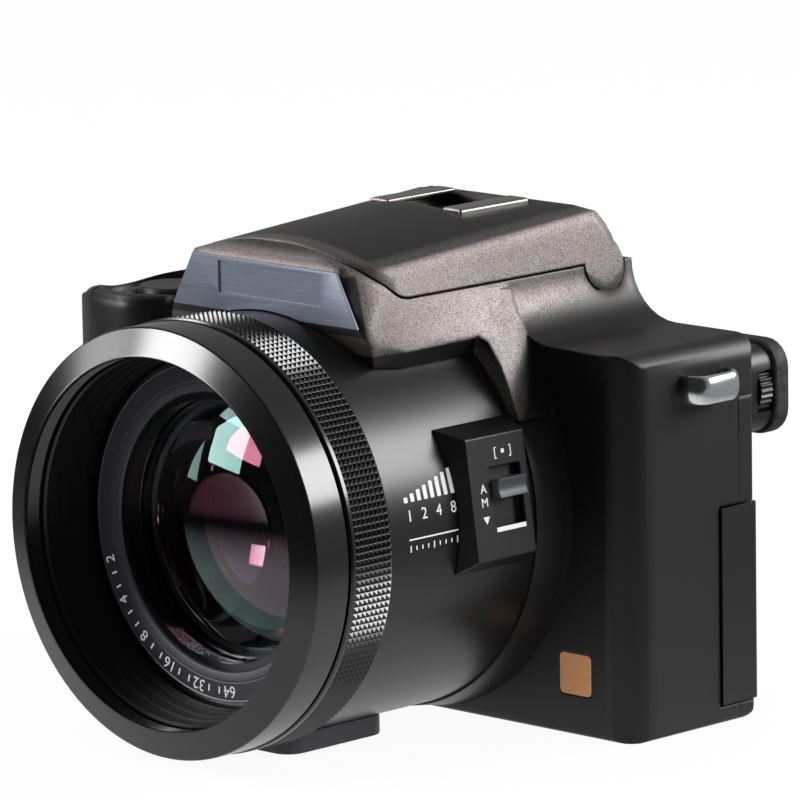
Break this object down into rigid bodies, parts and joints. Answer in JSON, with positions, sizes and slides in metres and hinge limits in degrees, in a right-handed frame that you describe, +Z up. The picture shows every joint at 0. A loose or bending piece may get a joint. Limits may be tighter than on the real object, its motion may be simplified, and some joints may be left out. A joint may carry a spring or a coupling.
{
  "type": "bridge camera",
  "caption": "Black bridge camera with a large fixed zoom lens, knurled focus ring, pop-up flash lid with a hot shoe, eye-level finder and side focus switch.",
  "frame": {"origin": "middle of the underside of the bounding box, on the plane that the base rests on", "axes": "+X towards the terminal side, -Y the way the lens looks, +Z up"},
  "size_m": [0.137, 0.1062, 0.0858],
  "materials": {
    "moulded_black": "black moulded plastic, fine satin texture",
    "flake_paint": "black paint with a fine metal flake on plastic",
    "grip_rubber": "pebbled black rubber",
    "barrel_black": "satin black painted metal",
    "ring_black": "semi-gloss black anodised metal",
    "badge_metal": "blue-grey brushed metal",
    "copper_trim": "satin copper-coloured metal",
    "chrome": "polished chrome",
    "shoe_steel": "brushed stainless steel",
    "coated_glass": "multi-coated optical glass",
    "window_glass": "dark tinted cover glass",
    "flash_plastic": "clear ribbed plastic over a bright reflector",
    "board_green": "solder-masked circuit board",
    "cell_grey": "dark grey battery pack and can",
    "sensor_blue": "filter glass over the sensor",
    "fastener_steel": "plated steel",
    "button_grey": "dark grey satin plastic keys",
    "shutter_silver": "spun satin aluminium",
    "lamp_red": "red translucent lamp window"
  },
  "bodies": {
    "body": {"front_case": "flake_paint", "rear_case": "flake_paint", "top_cover": "flake_paint", "grip_skin": "grip_rubber", "badge_plate": "badge_metal", "copper_plate": "copper_trim", "lens_barrel": "barrel_black", "barrel_collar": "moulded_black", "lens_foot": "moulded_black", "front_ring": "ring_black", "focus_panel": "moulded_black", "zoom_guide": "moulded_black", "rear_lens": "coated_glass", "sensor_mount": "cell_grey", "image_sensor": "sensor_blue", "main_board": "board_green", "battery": "cell_grey", "flash_capacitor": "cell_grey", "tripod_bush": "fastener_steel", "base_screws": "fastener_steel", "strap_lug_left": "chrome", "strap_lug_right": "chrome", "screen_window": "window_glass", "screen_panel": "cell_grey", "finder_housing": "moulded_black", "finder_lens": "coated_glass", "finder_display": "cell_grey", "eyecup": "grip_rubber", "terminal_jacks": "cell_grey", "assist_lamp": "lamp_red", "lid_pin": "fastener_steel", "terminal_pin": "fastener_steel", "battery_pin": "fastener_steel"},
    "focus_ring": {"focus_ring": "ring_black"},
    "zoom_front": {"zoom_barrel": "ring_black", "name_ring": "ring_black", "front_glass": "coated_glass"},
    "zoom_group": {"zoom_group": "coated_glass"},
    "focus_switch": {"focus_switch": "button_grey"},
    "flash_lid": {"flash_lid": "flake_paint", "hot_shoe": "shoe_steel", "flash_head": "cell_grey", "flash_window": "flash_plastic"},
    "shutter_button": {"shutter_button": "shutter_silver"},
    "zoom_lever": {"zoom_lever": "moulded_black"},
    "mode_dial": {"mode_dial": "button_grey"},
    "power_switch": {"power_switch": "button_grey"},
    "dioptre_wheel": {"dioptre_wheel": "button_grey"},
    "terminal_door": {"terminal_door": "moulded_black"},
    "battery_door": {"battery_door": "moulded_black"},
    "arrow_up": {"arrow_up": "button_grey"},
    "arrow_down": {"arrow_down": "button_grey"},
    "arrow_left": {"arrow_left": "button_grey"},
    "arrow_right": {"arrow_right": "button_grey"},
    "menu_button": {"menu_button": "button_grey"},
    "delete_button": {"delete_button": "button_grey"},
    "display_button": {"display_button": "button_grey"},
    "lock_button": {"lock_button": "button_grey"},
    "finder_button": {"finder_button": "button_grey"}
  },
  "joints": [
    {"name": "focus_turn", "type": "hinge", "parent": "body", "child": "focus_ring", "pos_m": [0.01415, -0.03913, 0.037], "axis": [0, -1, 0], "continuous": true},
    {"name": "zoom_slide", "type": "slide", "parent": "body", "child": "zoom_front", "axis": [0, -1, 0], "range_m": [0, 0.01]},
    {"name": "group_slide", "type": "slide", "parent": "body", "child": "zoom_group", "axis": [0, -1, 0], "range_m": [0, 0.006]},
    {"name": "focus_switch_slide", "type": "slide", "parent": "body", "child": "focus_switch", "axis": [0.1392, 0, -0.9903], "range_m": [0, 0.0046]},
    {"name": "lid_hinge", "type": "hinge", "parent": "body", "child": "flash_lid", "pos_m": [0.01415, 0.03138, 0.075], "axis": [-1, 0, 0], "range_deg": [0, 35]},
    {"name": "shutter_press", "type": "slide", "parent": "body", "child": "shutter_button", "axis": [0, 0, -1], "range_m": [0, 0.0012], "stiffness_N_per_m": 800},
    {"name": "zoom_lever_turn", "type": "hinge", "parent": "body", "child": "zoom_lever", "pos_m": [-0.04315, 0.00737, 0.0633], "axis": [0, 0, 1], "range_deg": [-18, 18], "stiffness_Nm_per_rad": 0.03},
    {"name": "mode_dial_turn", "type": "hinge", "parent": "body", "child": "mode_dial", "pos_m": [-0.02635, 0.02888, 0.0693], "axis": [0, 0, 1], "continuous": true},
    {"name": "power_slide", "type": "slide", "parent": "body", "child": "power_switch", "axis": [1, 0, 0], "range_m": [0, 0.004]},
    {"name": "dioptre_turn", "type": "hinge", "parent": "body", "child": "dioptre_wheel", "pos_m": [0.0536, 0.04718, 0.0533], "axis": [0, 1, 0], "range_deg": [-60, 60]},
    {"name": "terminal_door_hinge", "type": "hinge", "parent": "body", "child": "terminal_door", "pos_m": [0.0588, 0.03742, 0.02], "axis": [0, 0, 1], "range_deg": [0, 100]},
    {"name": "battery_door_hinge", "type": "hinge", "parent": "body", "child": "battery_door", "pos_m": [-0.0354, 0.01498, 0.0014], "axis": [0, -1, 0], "range_deg": [0, 95]},
    {"name": "arrow_up_press", "type": "slide", "parent": "body", "child": "arrow_up", "axis": [0, -1, 0], "range_m": [0, 0.0008], "stiffness_N_per_m": 600},
    {"name": "arrow_down_press", "type": "slide", "parent": "body", "child": "arrow_down", "axis": [0, -1, 0], "range_m": [0, 0.0008], "stiffness_N_per_m": 600},
    {"name": "arrow_left_press", "type": "slide", "parent": "body", "child": "arrow_left", "axis": [0, -1, 0], "range_m": [0, 0.0008], "stiffness_N_per_m": 600},
    {"name": "arrow_right_press", "type": "slide", "parent": "body", "child": "arrow_right", "axis": [0, -1, 0], "range_m": [0, 0.0008], "stiffness_N_per_m": 600},
    {"name": "menu_button_press", "type": "slide", "parent": "body", "child": "menu_button", "axis": [0, -1, 0], "range_m": [0, 0.0008], "stiffness_N_per_m": 600},
    {"name": "delete_button_press", "type": "slide", "parent": "body", "child": "delete_button", "axis": [0, -1, 0], "range_m": [0, 0.0008], "stiffness_N_per_m": 600},
    {"name": "display_button_press", "type": "slide", "parent": "body", "child": "display_button", "axis": [0, -1, 0], "range_m": [0, 0.0008], "stiffness_N_per_m": 600},
    {"name": "lock_button_press", "type": "slide", "parent": "body", "child": "lock_button", "axis": [0, -1, 0], "range_m": [0, 0.0008], "stiffness_N_per_m": 600},
    {"name": "finder_button_press", "type": "slide", "parent": "body", "child": "finder_button", "axis": [0, -1, 0], "range_m": [0, 0.0008], "stiffness_N_per_m": 600}
  ],
  "couplings": [
    {"joint": "group_slide", "follows": "zoom_slide", "ratio": 0.6}
  ]
}
